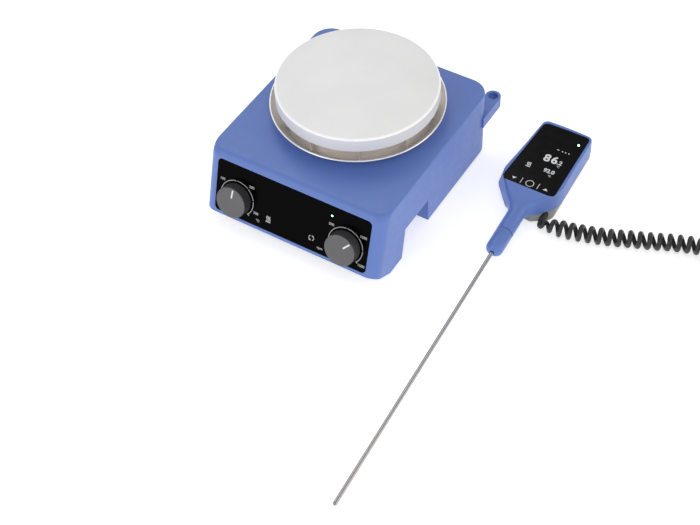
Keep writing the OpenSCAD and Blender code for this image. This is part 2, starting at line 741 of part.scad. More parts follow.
housing();
base_plate();
rubber_feet();
housing_screws();
front_panel();
status_led();
heat_knob();
heat_pointer();
heat_spindle();
heat_potentiometer();
speed_knob();
speed_pointer();
speed_spindle();
speed_potentiometer();
spindle_nuts();
control_board();
heating_plate();
heating_element();
heater_leads();
plate_sensor();
safety_thermostat();
insulation_disc();
shield_sheet();
plate_drum();
splash_ring();
plate_posts();
plate_screws();
magnet_carrier();
drive_magnets();
drive_shaft();
motor_rotor();
motor_stator();
motor_windings();
motor_upper_bracket();
motor_lower_bracket();
motor_bearings();
motor_dampers();
power_board();
transformer();
board_parts();
board_standoffs();
mains_inlet();
inlet_pins();
power_switch();
switch_rocker();
thermometer_socket();
probe_shell();
probe_back();
probe_cap();
probe_ferrule();
probe_shaft();
probe_window();
probe_display();
probe_board();
probe_screws();
cord_gland();
coiled_cord();
cord_plug();
plug_shield();
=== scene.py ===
"""Magnetic stirrer with a heating plate and a contact thermometer: materials and finished meshes."""
import math

import bpy
from mathutils import Matrix, Vector


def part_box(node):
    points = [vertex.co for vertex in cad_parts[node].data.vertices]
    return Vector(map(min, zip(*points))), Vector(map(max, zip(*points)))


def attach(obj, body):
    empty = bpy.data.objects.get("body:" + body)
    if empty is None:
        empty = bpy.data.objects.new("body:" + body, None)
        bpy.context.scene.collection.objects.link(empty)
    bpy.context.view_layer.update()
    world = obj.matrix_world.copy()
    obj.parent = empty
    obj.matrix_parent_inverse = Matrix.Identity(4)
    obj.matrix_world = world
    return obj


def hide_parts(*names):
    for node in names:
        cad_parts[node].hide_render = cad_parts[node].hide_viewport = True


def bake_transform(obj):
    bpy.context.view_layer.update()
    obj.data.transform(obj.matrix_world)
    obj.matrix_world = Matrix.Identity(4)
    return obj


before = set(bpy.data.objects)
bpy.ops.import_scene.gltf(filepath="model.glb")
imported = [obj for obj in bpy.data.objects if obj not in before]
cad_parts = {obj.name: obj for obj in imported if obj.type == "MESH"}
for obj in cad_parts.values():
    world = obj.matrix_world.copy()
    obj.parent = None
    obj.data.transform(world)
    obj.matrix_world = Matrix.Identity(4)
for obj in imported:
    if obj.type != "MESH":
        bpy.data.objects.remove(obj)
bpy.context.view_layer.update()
scene = bpy.context.scene

# Every shape below is in millimetres, in one of these frames; where @ point is in metres.
low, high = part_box("heating_plate")
AXIS = ((low[0] + high[0]) / 2, (low[1] + high[1]) / 2, 0)
PLATE = Matrix.Translation(AXIS) @ Matrix.Scale(0.001, 4)


def turn(degrees, axis):
    return Matrix.Rotation(math.radians(degrees), 4, axis)


TILT = 16.5
SIN_T, COS_T, TAN_T = (f(math.radians(TILT)) for f in (math.sin, math.cos, math.tan))
FRONT_Y = -108.6
HALF_W = 76.7
BODY_H = 64
REAR_Y = 73
PANEL_Z = 58.4
PANEL_W, PANEL_H = 134.4, 45.4
PANEL = (
    PLATE
    @ Matrix.Translation((0, FRONT_Y + PANEL_Z * TAN_T, PANEL_Z))
    @ turn(90 - TILT, "X")
)
KNOB_U, KNOB_V = 48, -28.3
HEAT_AT, SPEED_AT = 6, 42
PITCH, YAW, SHAFT_L = 1.8, 2.54, 241.3
PROBE_ROOT = (
    146.4 - SHAFT_L * math.cos(math.radians(PITCH)) * math.sin(math.radians(YAW)),
    -275.7 + SHAFT_L * math.cos(math.radians(PITCH)) * math.cos(math.radians(YAW)),
    1.5 + SHAFT_L * math.sin(math.radians(PITCH)),
)
PROBE = PLATE @ Matrix.Translation(PROBE_ROOT) @ turn(YAW, "Z") @ turn(PITCH, "X")
SEAM_Z = -3.3
GLAND_X, GLAND_Y, GLAND_Z = 18, 48.4, -6.4


def knob_frame(side):
    return PANEL @ Matrix.Translation((side * KNOB_U, KNOB_V, 0))


# ---------------------------------------------------------------- camera

AZ, EL, ROLL = (math.radians(a) for a in (33.56, 49.05, -2.76))
CAMERA_AT = PLATE @ Vector((447.5, -696.4, 839.8))


def camera():
    data = bpy.data.cameras.new("camera")
    data.lens, data.sensor_width = 76.01, 36
    data.clip_start, data.clip_end = 0.05, 20
    back = Vector((math.sin(AZ) * math.cos(EL), -math.cos(AZ) * math.cos(EL), math.sin(EL)))
    level = Vector((0, 0, 1)).cross(back).normalized()
    rise = back.cross(level)
    right = level * math.cos(ROLL) + rise * math.sin(ROLL)
    up = rise * math.cos(ROLL) - level * math.sin(ROLL)
    obj = bpy.data.objects.new("camera", data)
    obj.matrix_world = Matrix.Translation(CAMERA_AT) @ Matrix((right, up, back)).transposed().to_4x4()
    scene.collection.objects.link(obj)
    scene.camera = obj


camera()

# ---------------------------------------------------------------- materials


def linear(rgb):
    return [c / 12.92 if c <= 0.04045 else ((c + 0.055) / 1.055) ** 2.4 for c in rgb]


class Nodes:
    """A node tree with short calls."""

    def __init__(self, name):
        self.material = bpy.data.materials.new(name)
        self.material.use_nodes = True
        self.tree = self.material.node_tree
        self.shader = self.tree.nodes["Principled BSDF"]
        coords = self.tree.nodes.new("ShaderNodeTexCoord")
        self.place = coords.outputs["Object"]

    def link(self, source, target):
        self.tree.links.new(source, target)

    def noise(self, scale, detail=2.0, vector=None):
        n = self.tree.nodes.new("ShaderNodeTexNoise")
        n.inputs["Scale"].default_value = scale
        n.inputs["Detail"].default_value = detail
        n.inputs["Roughness"].default_value = 0.5
        self.link(vector or self.place, n.inputs["Vector"])
        return n.outputs["Fac"]

    def stretch(self, scale, location=(0, 0, 0)):
        n = self.tree.nodes.new("ShaderNodeMapping")
        n.inputs["Scale"].default_value = scale
        n.inputs["Location"].default_value = location
        self.link(self.place, n.inputs["Vector"])
        return n.outputs["Vector"]

    def span(self, value, low, high, start=0.3, end=0.7):
        n = self.tree.nodes.new("ShaderNodeMapRange")
        n.inputs["From Min"].default_value, n.inputs["From Max"].default_value = start, end
        n.inputs["To Min"].default_value, n.inputs["To Max"].default_value = low, high
        self.link(value, n.inputs["Value"])
        return n.outputs["Result"]

    def blend(self, factor, a, b):
        """Colour a where factor is 0 and b where it is 1; each is three numbers or an output."""
        n = self.tree.nodes.new("ShaderNodeMix")
        n.data_type = "RGBA"
        self.link(factor, n.inputs["Factor"])
        for value, socket in ((a, n.inputs["A"]), (b, n.inputs["B"])):
            if isinstance(value, (list, tuple)):
                socket.default_value = (*value, 1)
            else:
                self.link(value, socket)
        return n.outputs["Result"]

    def math(self, operation, a, b=None):
        n = self.tree.nodes.new("ShaderNodeMath")
        n.operation = operation
        for value, socket in zip((a, b), n.inputs):
            if value is None:
                continue
            if isinstance(value, (int, float)):
                socket.default_value = value
            else:
                self.link(value, socket)
        return n.outputs["Value"]

    def bump(self, height, distance):
        n = self.tree.nodes.new("ShaderNodeBump")
        n.inputs["Distance"].default_value = distance
        n.inputs["Strength"].default_value = 1.0
        self.link(height, n.inputs["Height"])
        self.link(n.outputs["Normal"], self.shader.inputs["Normal"])

    def set(self, **values):
        for name, value in values.items():
            self.shader.inputs[name.replace("_", " ")].default_value = value

    def colour(self, output):
        self.link(output, self.shader.inputs["Base Color"])

    def rough(self, output):
        self.link(output, self.shader.inputs["Roughness"])


def moulded(name, rgb, rough, grain=0.00002, cloud=0.05, grain_scale=3500, shine=0.5):
    """Moulded plastic: a fine spark-eroded grain, slight clouding and uneven gloss."""
    n = Nodes(name)
    base = linear(rgb)
    dark, light = [c * (1 - cloud) for c in base], [c * (1 + cloud) for c in base]
    n.colour(n.blend(n.span(n.noise(38, 3), 0, 1), dark, light))
    n.rough(n.span(n.noise(160, 3), rough - 0.05, rough + 0.05))
    n.bump(n.noise(grain_scale, 2), grain)
    n.set(Specular_IOR_Level=shine)
    return n.material


def metal(name, rgb, rough, brushed=None):
    """Bright metal with a brushed or a plain fine grain."""
    n = Nodes(name)
    base = linear(rgb)
    vector = n.stretch(brushed) if brushed else None
    lines = n.noise(900, 3, vector)
    n.colour(n.blend(n.span(lines, 0, 1), [c * 0.88 for c in base], base))
    n.rough(n.span(lines, rough - 0.05, rough + 0.07))
    n.bump(lines, 0.00001)
    n.set(Metallic=1.0)
    return n.material


RING_PITCH, RING_DEPTH = 2100, 0.012


def plate_enamel():
    """White enamel with turned rings that barely show, a little dust and a few fine wear marks."""
    n = Nodes("plate_enamel")
    place = n.stretch((1, 1, 0), (-AXIS[0], -AXIS[1], 0))
    length = n.tree.nodes.new("ShaderNodeVectorMath")
    length.operation = "LENGTH"
    n.link(place, length.inputs[0])
    radius = length.outputs["Value"]
    wave = n.math("SINE", n.math("MULTIPLY", radius, RING_PITCH))
    cloud = n.noise(24, 4)
    mix = n.math("ADD", n.math("MULTIPLY", wave, RING_DEPTH), cloud)
    dull, clean = linear((0.895, 0.90, 0.905)), linear((0.925, 0.93, 0.935))
    n.colour(n.blend(n.span(mix, 0, 1, 0.25, 0.75), dull, clean))
    n.rough(n.span(n.noise(90, 4), 0.30, 0.42))
    n.bump(n.noise(1800, 3), 0.000012)
    n.set(Coat_Weight=0.25, Coat_Roughness=0.15)
    return n.material


def board_green():
    n = Nodes("board")
    tracks = n.noise(420, 1, n.stretch((1, 6, 1)))
    n.colour(n.blend(n.span(tracks, 0, 1, 0.49, 0.51), linear((0.05, 0.27, 0.15)), linear((0.08, 0.36, 0.2))))
    n.rough(n.span(n.noise(300), 0.3, 0.45))
    return n.material


def glow(name, rgb, strength):
    n = Nodes(name)
    base = linear(rgb)
    n.colour(n.blend(n.span(n.noise(600), 0, 1), [c * 0.9 for c in base], base))
    n.rough(n.span(n.noise(400), 0.2, 0.3))
    n.set(Emission_Color=(*base, 1), Emission_Strength=strength)
    return n.material


BLUE = moulded("blue_plastic", (0.36, 0.475, 0.755), 0.42, 0.000012, 0.02)
# The knob's top and side are copies of one grey plastic. The side is painted darker than the top: painted
# shade.
KNOB_FACE = moulded("knob_face", (0.35, 0.35, 0.365), 0.5, 0.00003, 0.04, 2600)
KNOB_SIDE = moulded("knob_side", (0.20, 0.20, 0.215), 0.5, 0.00003, 0.04, 2600)
GREY = moulded("grey_plastic", (0.56, 0.56, 0.56), 0.45, 0.00002, 0.04)
BLACK = moulded("black_plastic", (0.12, 0.12, 0.13), 0.42, 0.00002, 0.08)
PANEL_BLACK = moulded("panel_black", (0.02, 0.02, 0.022), 0.2, 0.000001, 0.1, shine=0.02)
GLASS_BLACK = moulded("glass_black", (0.025, 0.025, 0.03), 0.16, 0.000001, 0.1, shine=0.09)
PRINT = moulded("white_print", (0.86, 0.87, 0.88), 0.5, 0.000002, 0.03)
PRINT_SOFT = moulded("grey_print", (0.68, 0.69, 0.7), 0.5, 0.000002, 0.03)
CORD = moulded("cord_black", (0.13, 0.13, 0.135), 0.38, 0.00001, 0.12)
RUBBER = moulded("rubber", (0.14, 0.14, 0.145), 0.75, 0.00004, 0.1)
DARK = moulded("component", (0.16, 0.17, 0.18), 0.5, 0.00002, 0.1)
SILICONE = moulded("silicone", (0.62, 0.2, 0.16), 0.6, 0.00002, 0.08)
WOOL = moulded("mineral_wool", (0.78, 0.72, 0.6), 0.95, 0.0004, 0.14, 900)
POWDER = moulded("powder_coat", (0.5, 0.52, 0.55), 0.55, 0.00005, 0.05, 1700)
STEEL = metal("steel", (0.72, 0.72, 0.73), 0.32)
POLISHED = metal("polished_steel", (0.98, 0.978, 0.975), 0.3, (1, 1, 30))
WARM = metal("annealed_steel", (0.97, 0.945, 0.93), 0.42, (1, 1, 30))
SHAFT = metal("drawn_steel", (0.62, 0.62, 0.63), 0.2, (30, 1, 30))
ALUMINIUM = metal("aluminium", (0.8, 0.8, 0.81), 0.4)
BRASS = metal("brass", (0.78, 0.66, 0.38), 0.32)
COPPER = metal("copper", (0.72, 0.42, 0.26), 0.35)
ENAMEL = plate_enamel()
# The plate's rounded rim and its side are copies of the plate enamel. The lighter, glossier rim copy is a
# painted highlight, and the darker bluish side copy is painted shade.
ENAMEL_RIM_HIGHLIGHT = moulded("enamel_rim_painted_highlight", (0.985, 0.985, 0.99), 0.25, 0.000004, 0.01)
ENAMEL_SIDE_SHADE = moulded("enamel_side_painted_shade", (0.83, 0.84, 0.865), 0.35, 0.000008, 0.015)
BOARD = board_green()
LED_GREEN = glow("led_green", (0.75, 1.0, 0.8), 3.0)

CAD_FINISH = {
    POWDER: ("base_plate",),
    RUBBER: ("rubber_feet", "motor_dampers"),
    STEEL: (
        "housing_screws", "heat_spindle", "speed_spindle", "spindle_nuts", "heating_element", "plate_sensor",
        "plate_posts", "plate_screws", "drive_shaft", "motor_rotor", "motor_stator", "inlet_pins",
        "probe_ferrule", "probe_screws",
    ),
    BLACK: ("mains_inlet", "power_switch", "switch_rocker", "thermometer_socket"),
    DARK: (
        "heat_potentiometer", "speed_potentiometer", "safety_thermostat", "transformer", "board_parts",
        "probe_display",
    ),
    BOARD: ("control_board", "power_board", "probe_board"),
    SILICONE: ("heater_leads",),
    WOOL: ("insulation_disc",),
    POLISHED: ("shield_sheet", "plug_shield"),
    ALUMINIUM: ("magnet_carrier", "motor_upper_bracket", "motor_lower_bracket"),
    BRASS: ("motor_bearings", "board_standoffs"),
    COPPER: ("motor_windings",),
    KNOB_SIDE: ("drive_magnets",),
    SHAFT: ("probe_shaft",),
}

# ---------------------------------------------------------------- mesh tools


def outward(mesh, where):
    """Placed vertices, and the faces turned so that their normals point out."""
    verts = [where @ Vector(v) for v in mesh[0]]
    volume = 0.0
    for f in mesh[1]:
        a = verts[f[0]]
        for b, c in zip(f[1:], f[2:]):
            volume += a.dot(verts[b].cross(verts[c]))
    return verts, mesh[1] if volume > 0 else [f[::-1] for f in mesh[1]]


def piece(name, mesh, where, body, materials, nodes=(), angle=32, bevel=0.0, segments=2):
    """An object from (vertices, faces) or (vertices, faces, material of each face)."""
    me = bpy.data.meshes.new(name)
    verts, faces = outward(mesh, where)
    me.from_pydata(verts, [], faces)
    materials = materials if isinstance(materials, (list, tuple)) else [materials]
    for m in materials:
        me.materials.append(m)
    if len(mesh) > 2:
        me.polygons.foreach_set("material_index", mesh[2])
    me.validate()
    obj = bpy.data.objects.new(name, me)
    scene.collection.objects.link(obj)
    finish_mesh(obj, angle, bevel, segments)
    if body:
        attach(obj, body)
    if nodes:
        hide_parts(*nodes)
    return obj


def finish_mesh(obj, angle, bevel, segments):
    obj.data.shade_smooth()
    obj.data.set_sharp_from_angle(angle=math.radians(angle))
    if bevel:
        mod = obj.modifiers.new("edges", "BEVEL")
        mod.width, mod.segments, mod.limit_method = bevel * 0.001, segments, "ANGLE"
        mod.angle_limit = math.radians(angle)
        mod.harden_normals = False
        mod.miter_outer = "MITER_ARC"
        normals = obj.modifiers.new("normals", "WEIGHTED_NORMAL")
        normals.keep_sharp = False


def joined(*meshes):
    verts, faces = [], []
    for mesh in meshes:
        base = len(verts)
        verts += mesh[0]
        faces += [[i + base for i in f] for f in mesh[1]]
    return verts, faces


def placed(mesh, matrix):
    return [matrix @ Vector(v) for v in mesh[0]], mesh[1]


def moved(mesh, x, y, z=0):
    return placed(mesh, Matrix.Translation((x, y, z)))


def lathe(profile, n=128):
    """A closed solid turned about z. profile runs outside, from the axis or a first ring back to it."""
    verts, rings, faces = [], [], []
    for r, z in profile:
        if r < 1e-6:
            rings.append([len(verts)] * n)
            verts.append((0, 0, z))
        else:
            rings.append([len(verts) + i for i in range(n)])
            verts += [(r * math.cos(i * math.tau / n), r * math.sin(i * math.tau / n), z) for i in range(n)]
    closed = profile[0][0] > 1e-6
    pairs = list(zip(rings, rings[1:])) + ([(rings[-1], rings[0])] if closed else [])
    for a, b in pairs:
        for i in range(n):
            j = (i + 1) % n
            face = [a[i], a[j], b[j], b[i]]
            face = [v for k, v in enumerate(face) if v != face[k - 1]]
            if len(face) > 2:
                faces.append(face)
    return verts, faces


def pin(r, z0, z1, n):
    """A plain cylinder about z, to cut a hole with or to build on."""
    return lathe([(0, z0), (r, z0), (r, z1), (0, z1)], n)


def loft(loops):
    """Faces between equal closed loops, with an end face on the first and the last."""
    m = len(loops[0])
    verts = [v for loop in loops for v in loop]
    faces = [
        [k * m + i, k * m + (i + 1) % m, (k + 1) * m + (i + 1) % m, (k + 1) * m + i]
        for k in range(len(loops) - 1)
        for i in range(m)
    ]
    faces += [list(range(m))[::-1], [(len(loops) - 1) * m + i for i in range(m)]]
    return verts, faces


def arc(cx, cy, r, start, end, n):
    """Points of an arc, with both ends, in degrees."""
    return [
        (cx + r * math.cos(math.radians(start + (end - start) * i / n)),
         cy + r * math.sin(math.radians(start + (end - start) * i / n)))
        for i in range(n + 1)
    ]


def slab(outline, z0, z1):
    return loft([[(x, y, z) for x, y in outline] for z in (z0, z1)])


def rounded(x0, x1, y0, y1, r, n=8):
    return (
        arc(x1 - r, y0 + r, r, -90, 0, n) + arc(x1 - r, y1 - r, r, 0, 90, n)
        + arc(x0 + r, y1 - r, r, 90, 180, n) + arc(x0 + r, y0 + r, r, 180, 270, n)
    )


def disc(cx, cy, r, n=48):
    return arc(cx, cy, r, 0, 360, n)[:-1]


def tool(mesh, where):
    """An object that only cuts."""
    me = bpy.data.meshes.new("cutter")
    verts, faces = outward(mesh, where)
    me.from_pydata(verts, [], faces)
    obj = bpy.data.objects.new("cutter", me)
    scene.collection.objects.link(obj)
    return obj


def combine(obj, tools, operation="DIFFERENCE"):
    """Booleans with each tool in turn, applied, and the tools removed."""
    for other in tools:
        mod = obj.modifiers.new("cut", "BOOLEAN")
        mod.solver, mod.operation, mod.object = "MANIFOLD", operation, other
        graph = bpy.context.evaluated_depsgraph_get()
        me = bpy.data.meshes.new_from_object(obj.evaluated_get(graph))
        obj.modifiers.remove(mod)
        old, obj.data = obj.data, me
        bpy.data.meshes.remove(old)
        bpy.data.objects.remove(other)
    return obj


def side_slab(points, x0, x1):
    """A shape drawn as (y, z), drawn out along x."""
    return loft([[(x, y, z) for y, z in points] for x in (x0, x1)])


# ---------------------------------------------------------------- the curly cord

CORD_R = 1.8
HELIX_R = 5.2
TURNS_SEEN = 17
TURN_STEPS = 18
CLOSED_PITCH, OPENING_OUT = 5.0, 30
FIRST_ANGLE, LAST_ANGLE, LAST_TURN = 15, 315, 11
FIRST_WIDTH, WIDENING = 0.3, 26
FIRST_LIFT, LIFT_ENDS = 1.4, 16
RING_TILT = 0.14
COIL_GAP, TAIL_GAP = 0.1, 0.12
OPEN = [
    (152.1, 12.2), (155, 12.5), (160, 12.9), (165, 13.5), (170, 14.3), (180, 16.6), (190, 19.5),
    (200, 22.9), (210, 26.7), (220, 31), (230, 35.2), (240, 39.6), (250, 44), (260, 47.8), (270, 50),
]
REST = [
    (279, 49.4), (287, 46.4), (293.4, 41), (298, 33.6), (301.8, 25), (305.6, 16), (309.5, 6.6),
    (313.4, -2.6), (317.3, -11.8), (321.2, -21), (324, -27.6),
]
TAIL = [(325.5, -31), (327, -34.6), (329, -39.4), (331, -44.2), (332.6, -48.2)]
GLAND_END = PLATE.inverted() @ PROBE @ Vector((GLAND_X, GLAND_Y, GLAND_Z))
PLUG_AT = (334.2, -52, 7.5)
PLUG_TURN = -67.2


def smooth_line(points, step=0.25):
    """A Catmull-Rom line through the points, evenly resampled."""
    pts = [Vector(p) for p in points]
    pts = [2 * pts[0] - pts[1]] + pts + [2 * pts[-1] - pts[-2]]
    fine = []
    for a, b, c, d in zip(pts, pts[1:], pts[2:], pts[3:]):
        for i in range(24):
            t = i / 24
            fine.append(0.5 * (2 * b + (c - a) * t + (2 * a - 5 * b + 4 * c - d) * t * t
                               + (3 * b - a - 3 * c + d) * t ** 3))
    fine.append(pts[-2])
    return even(fine, step)


def even(points, step):
    marks = [0.0]
    for a, b in zip(points, points[1:]):
        marks.append(marks[-1] + (b - a).length)
    count = max(2, round(marks[-1] / step))
    out, k = [], 0
    for i in range(count + 1):
        s = marks[-1] * i / count
        while k < len(marks) - 2 and marks[k + 1] < s:
            k += 1
        gap = marks[k + 1] - marks[k]
        out.append(points[k].lerp(points[k + 1], (s - marks[k]) / gap if gap else 0))
    return out


def bezier(a, b, c, d, n):
    a, b, c, d = (Vector(p) for p in (a, b, c, d))
    return [
        a * (1 - t) ** 3 + b * 3 * t * (1 - t) ** 2 + c * 3 * t * t * (1 - t) + d * t ** 3
        for t in (i / n for i in range(n))
    ]


def winding_marks(seen, last, step):
    """Places along the winding's axis with the wire's angle at each, from open turns to closed ones."""
    per_turn_seen = seen / TURNS_SEEN
    per_turn_rest = CLOSED_PITCH / step
    marks, k, angle = [], 0.0, FIRST_ANGLE
    while k < last - LAST_TURN / step or angle % 360 != LAST_ANGLE:
        marks.append((k, angle))
        ease = min(1.0, max(0.0, (k - seen) / (OPENING_OUT / step)))
        k += (per_turn_seen + (per_turn_rest - per_turn_seen) * ease) / TURN_STEPS
        angle += 360 // TURN_STEPS
    return marks


def cord_route():
    """The centreline in millimetres: out of the gland, the open turns, the closed turns, the plain tail."""
    line = smooth_line([(x, y, 0) for x, y in OPEN + REST])
    seen = len(smooth_line([(x, y, 0) for x, y in OPEN])) - 1
    step = (line[1] - line[0]).length
    last = len(line) - 1
    path = []
    for k, degrees in winding_marks(seen, last, step):
        i = int(k)
        ahead = (line[min(i + 1, last)] - line[max(i - 1, 0)]).normalized()
        side = Vector((-ahead.y, ahead.x, 0))
        width = min(1.0, FIRST_WIDTH + k * step / WIDENING)
        lift = FIRST_LIFT * max(0.0, 1 - k * step / LIFT_ENDS)
        r = HELIX_R * (width * width * (3 - 2 * width))
        wobble = 0.12 * math.sin(k * step * 0.21) + 0.09 * math.sin(k * step * 0.083 + 1.3)
        angle = math.radians(degrees)
        here = line[i].lerp(line[i + 1], k - i) + Vector((0, 0, CORD_R + COIL_GAP + r + lift))
        here += ahead * (RING_TILT * r * (math.sin(angle) + math.cos(angle)))
        across = r * math.sin(angle) - wobble * width
        path.append(here - side * across - Vector((0, 0, r * math.cos(angle))))
    away = (path[1] - path[0]).normalized()
    first = bezier(GLAND_END, GLAND_END - Vector((0.4, 0.8, 0.3)), path[0] - away * 1.3, path[0], 8)
    end = Vector(PLUG_AT)
    out = Vector((math.cos(math.radians(PLUG_TURN)), math.sin(math.radians(PLUG_TURN)), 0))
    flat_part = [Vector((x, y, CORD_R + TAIL_GAP)) for x, y in TAIL[:3]]
    rise = [(*TAIL[3], 3.0), (*TAIL[4], 6.0), tuple(end + out * 0.6)]
    finish = smooth_line([tuple(v) for v in flat_part] + rise, 1.2)
    around = (path[-1] - path[-2]).normalized()
    ahead = (finish[1] - finish[0]).normalized()
    bend = bezier(path[-1], path[-1] + around * 4, flat_part[0] - ahead * 7, flat_part[0], 16)
    return first + path[:-1] + bend + finish


def tube_mesh(path, radius):
    """A tube with flat ends whose rings don't twist."""
    sides = 12
    loops = []
    normal = None
    for k, p in enumerate(path):
        d = (path[min(k + 1, len(path) - 1)] - path[max(k - 1, 0)]).normalized()
        if normal is None:
            normal = Vector((0, 0, 1)).cross(d).normalized()
        normal = (normal - d * normal.dot(d)).normalized()
        other = d.cross(normal)
        angles = [i * math.tau / sides for i in range(sides)]
        loops.append([p + normal * (radius * math.cos(a)) + other * (radius * math.sin(a)) for a in angles])
    return loft(loops)


route = cord_route()
cord = piece("curly_cord", tube_mesh(route, CORD_R), PLATE, None, CORD, angle=60)
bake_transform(cord)
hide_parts("coiled_cord")


# ---------------------------------------------------------------- housing

WALL = 3
FRONT_R, REAR_R = 9.5, 16
EDGE_R, BROW_R = 1.2, 6.5
RECESS_H, RECESS_D, RECESS_REAR = 27.8, 22, -26.9
EAR, EAR_R, EAR_HOLE_R = (71.8, 85.2), 6.2, 4
SCREWS, SCREW_POST_R = ((-64, -77), (64, -77), (-62, 60), (62, 60)), 4
SPINDLE_HOLE_R = 3.7
LAMP_AT = (34.1, -8.5)
FOOT_Y, FOOT_Z, SKIRT_Z, BOW_Z = -84, 1.2, 5.9, 12.4


def body_outline(z, t, edge, brow):
    """The outline at height z, t inside the outer face, its top rounded by edge and, in front, by brow."""
    top = BODY_H - t
    rise = z - (top - edge)
    inset = edge - math.sqrt(max(0.0, edge * edge - rise * rise)) if rise > 0 else 0.0
    half, rear = HALF_W - t - inset, REAR_Y - t - inset
    front = FRONT_Y + z * TAN_T + t / COS_T
    rise = z - (top - brow)
    if rise > brow * SIN_T:
        front = FRONT_Y + (top - brow) * TAN_T + (t + brow) / COS_T
        front -= math.sqrt(max(0.0, brow * brow - rise * rise))
    grown = max(0.0, rise / brow) ** 2 * 2.5
    fr, rr = max(1.0, FRONT_R - t - inset + grown), REAR_R - t - inset
    side = [front + fr + (rear - rr - front - fr) * k / 10 for k in range(1, 10)]
    across = [-half + fr + (2 * half - 2 * fr) * k / 10 for k in range(1, 10)]
    back = [half - rr - (2 * half - 2 * rr) * k / 10 for k in range(1, 10)]
    return (
        arc(-half + fr, front + fr, fr, 180, 270, 12) + [(x, front) for x in across]
        + arc(half - fr, front + fr, fr, -90, 0, 12) + [(half, y) for y in side]
        + arc(half - rr, rear - rr, rr, 0, 90, 20) + [(x, rear) for x in back]
        + arc(-half + rr, rear - rr, rr, 90, 180, 20) + [(-half, y) for y in side[::-1]]
    )


def body_solid(t, edge, brow):
    top = BODY_H - t
    levels = {-12, 10, 25, 40, 52}
    sines = [math.sin(math.radians(a)) for a in (0, 8, 16.5, 26, 36, 47, 58, 68, 79, 90)]
    for r in (edge, brow):
        levels |= {round(top - r + r * sine, 4) for sine in sines}
    return loft([[(x, y, z) for x, y in body_outline(z, t, edge, brow)] for z in sorted(levels)])


def recess_solid(side, grow):
    x = sorted((side * (HALF_W - RECESS_D - grow), side * (HALF_W + 5)))
    slope, top = 6 / RECESS_H, RECESS_H + grow
    y0, y1 = -67 - grow * 1.03, RECESS_REAR + grow
    return side_slab([(y0 - 14 * slope, -14), (y1, -14), (y1, top), (y0 + top * slope, top)], *x)


def below_solid():
    """What is cut away under the housing: the arched front and the raised skirt behind the recesses."""
    bow_y = FRONT_Y + BOW_Z * TAN_T
    curve = arc(-64, SKIRT_Z - 2.0, 2.0, 180, 90, 4)
    return side_slab(
        [(-140, BOW_Z), (-140, -30), (90, -30), (90, SKIRT_Z)] + curve[::-1]
        + [(-66, FOOT_Z), (FOOT_Y, FOOT_Z), (bow_y + 1.2, BOW_Z - 0.35), (bow_y - 0.5, BOW_Z)],
        -100, 100,
    )


def ear_solid():
    x, y = EAR
    outline = [(x - EAR_R, 58), (x + EAR_R, 58)] + arc(x, y, EAR_R, 0, 180, 24)
    return slab(outline, 32.3, 42)


def housing():
    obj = piece("housing_shell", body_solid(0, EDGE_R, BROW_R), PLATE, None, BLUE)
    inner = tool(body_solid(WALL, 1.0, 4.0), PLATE)
    blocks = [tool(recess_solid(side, WALL), PLATE) for side in (-1, 1)]
    blocks += [tool(moved(pin(SCREW_POST_R, 8.05, 80, 24), x, y), PLATE) for x, y in SCREWS]
    combine(inner, blocks)
    combine(obj, [tool(ear_solid(), PLATE)], "UNION")
    combine(obj, [inner])
    cuts = [tool(below_solid(), PLATE)]
    cuts += [tool(recess_solid(side, 0), PLATE) for side in (-1, 1)]
    cuts.append(tool(pin(46, 50, 80, 96), PLATE))
    cuts.append(tool(moved(pin(EAR_HOLE_R, 25, 50, 40), *EAR), PLATE))
    pocket = rounded(-PANEL_W / 2 - 0.1, PANEL_W / 2 + 0.1, -PANEL_H - 0.1, 0.1, 3.8)
    cuts.append(tool(slab(pocket, -0.85, 6), PANEL))
    cuts += [tool(pin(SPINDLE_HOLE_R, -8, 2, 32), knob_frame(side)) for side in (-1, 1)]
    cuts.append(tool(moved(pin(1.6, -8, 2, 24), *LAMP_AT), PANEL))
    corners = ((-1, -1), (1, -1), (1, 1), (-1, 1))
    for (x, z), w, h in (((-43, 30), 27.4, 19.8), ((-8, 30), 19.4, 13.6)):
        opening = [(x + u * w / 2, z + v * h / 2) for u, v in corners]
        cuts.append(tool(loft([[(a, y, b) for a, b in opening] for y in (REAR_Y - 6, REAR_Y + 6)]), PLATE))
    socket_at = Matrix.Translation((38, REAR_Y, 38)) @ turn(-90, "X")
    cuts.append(tool(placed(pin(8.7, -6, 6, 48), socket_at), PLATE))
    dish = [(0, BODY_H - 0.12), (79.2, BODY_H - 0.12), (80.4, BODY_H + 0.01), (80.4, 70), (0, 70)]
    cuts.append(tool(lathe(dish, 192), PLATE))
    combine(obj, cuts)
    finish_mesh(obj, 30, 0.55, 3)
    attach(obj, "stirrer")
    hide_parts("housing")


housing()

# ---------------------------------------------------------------- plate and lip


PLATE_R, PLATE_TOP, PLATE_UNDER = 62.5, 92, 86


def plate():
    r, top, under = PLATE_R, PLATE_TOP, PLATE_UNDER
    profile = [(0, under), (r - 4, under), (r - 4, 80.3)] + arc(r - 3.7, 80.3, 0.3, 180, 270, 3)
    profile += arc(r - 0.7, 80.7, 0.7, -90, 0, 5) + arc(r - 1.5, top - 1.5, 1.5, 0, 90, 12)
    profile += [(r - 12, top), (0, top)]
    mesh = lathe(profile, 192)
    # Faces on the top rounding of the rim take the painted highlight enamel, and faces on the side take the
    # painted shade enamel.
    edge = []
    for f in mesh[1]:
        centre = sum((Vector(mesh[0][i]) for i in f), Vector()) / len(f)
        rim = centre.xy.length > r - 1.45
        edge.append(1 if rim and centre.z > top - 1.4 else 2 if rim else 0)
    materials = [ENAMEL, ENAMEL_RIM_HIGHLIGHT, ENAMEL_SIDE_SHADE]
    piece("plate_casting", (*mesh, edge), PLATE, "stirrer", materials, ("heating_plate",), 40)


